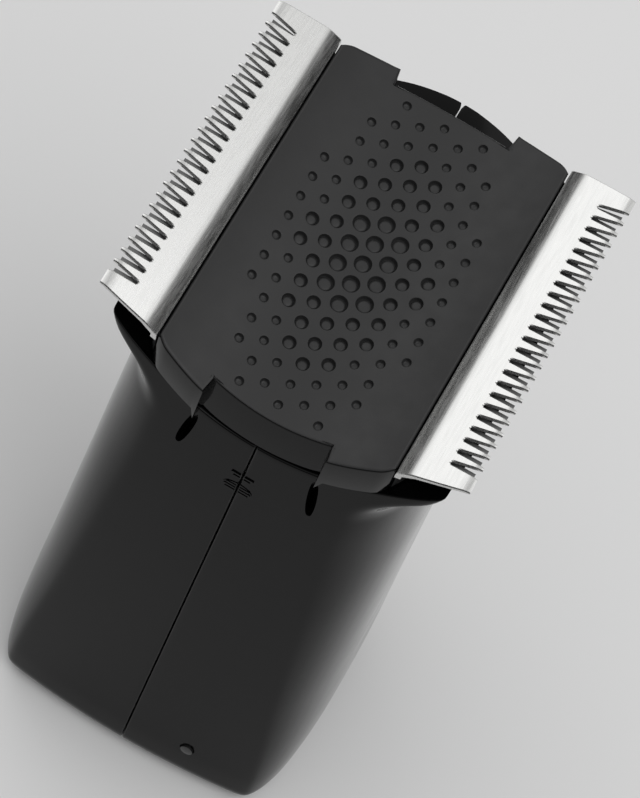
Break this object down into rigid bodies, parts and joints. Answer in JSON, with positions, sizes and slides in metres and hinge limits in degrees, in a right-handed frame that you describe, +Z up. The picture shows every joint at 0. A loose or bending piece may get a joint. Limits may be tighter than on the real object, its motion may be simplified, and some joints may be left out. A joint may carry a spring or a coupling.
{
  "type": "body groomer",
  "caption": "Cordless body groomer: concave dimpled skin plate between two toothed cutting edges, on a chunky handle parted down its middle.",
  "frame": {"origin": "middle of the bounding box, on the flat base that the handle stands on", "axes": "+Z up along the handle to the head, +X to the right along the seam plane's normal, -Y the front; the cutting edges run front to back"},
  "size_m": [0.0384, 0.042, 0.0825],
  "materials": {
    "casing": "high gloss black",
    "skin_plate": "satin dark grey",
    "inner_plastic": "matt black",
    "blade_steel": "fine brushed, bright",
    "dull_steel": "dull",
    "contact_brass": "plain",
    "board": "solder mask",
    "cell_wrap": "shrink wrap",
    "soft_rubber": "matt",
    "clear_plastic": "clear moulded",
    "white_plastic": "natural acetal"
  },
  "bodies": {
    "handle": {"left_shell": "casing", "right_shell": "casing", "motor_deck": "inner_plastic", "battery_cell": "cell_wrap", "battery_contact_top": "dull_steel", "battery_contact_bottom": "dull_steel", "charge_pin_left": "contact_brass", "charge_pin_right": "contact_brass", "circuit_board": "board", "control_chip": "inner_plastic", "power_switch": "dull_steel", "light_pipe": "clear_plastic", "motor_can": "dull_steel", "motor_endbell": "white_plastic", "motor_screw_left": "dull_steel", "motor_screw_right": "dull_steel", "neck_seal": "soft_rubber"},
    "head": {"head_cover": "skin_plate", "head_frame": "inner_plastic", "left_blade": "blade_steel", "right_blade": "blade_steel", "left_cutter_spring": "dull_steel", "right_cutter_spring": "dull_steel"},
    "cutters": {"cutter_carriage": "inner_plastic", "left_cutter": "dull_steel", "right_cutter": "dull_steel"},
    "rotor": {"motor_shaft": "dull_steel", "drive_eccentric": "white_plastic"},
    "button": {"power_button": "soft_rubber"}
  },
  "joints": [
    {"name": "head_lift", "type": "slide", "parent": "handle", "child": "head", "axis": [0, -0.1736, 0.9848], "range_m": [0, 0.02]},
    {"name": "cutter_stroke", "type": "slide", "parent": "head", "child": "cutters", "axis": [0, 0.9848, 0.1736], "range_m": [-0.00065, 0.00065]},
    {"name": "drive_spin", "type": "hinge", "parent": "handle", "child": "rotor", "pos_m": [0, -0.00567, 0.0733], "axis": [0, -0.1736, 0.9848], "continuous": true},
    {"name": "power_press", "type": "slide", "parent": "handle", "child": "button", "axis": [0, -1, 0], "range_m": [0, 0.0005], "stiffness_N_per_m": 4000}
  ]
}
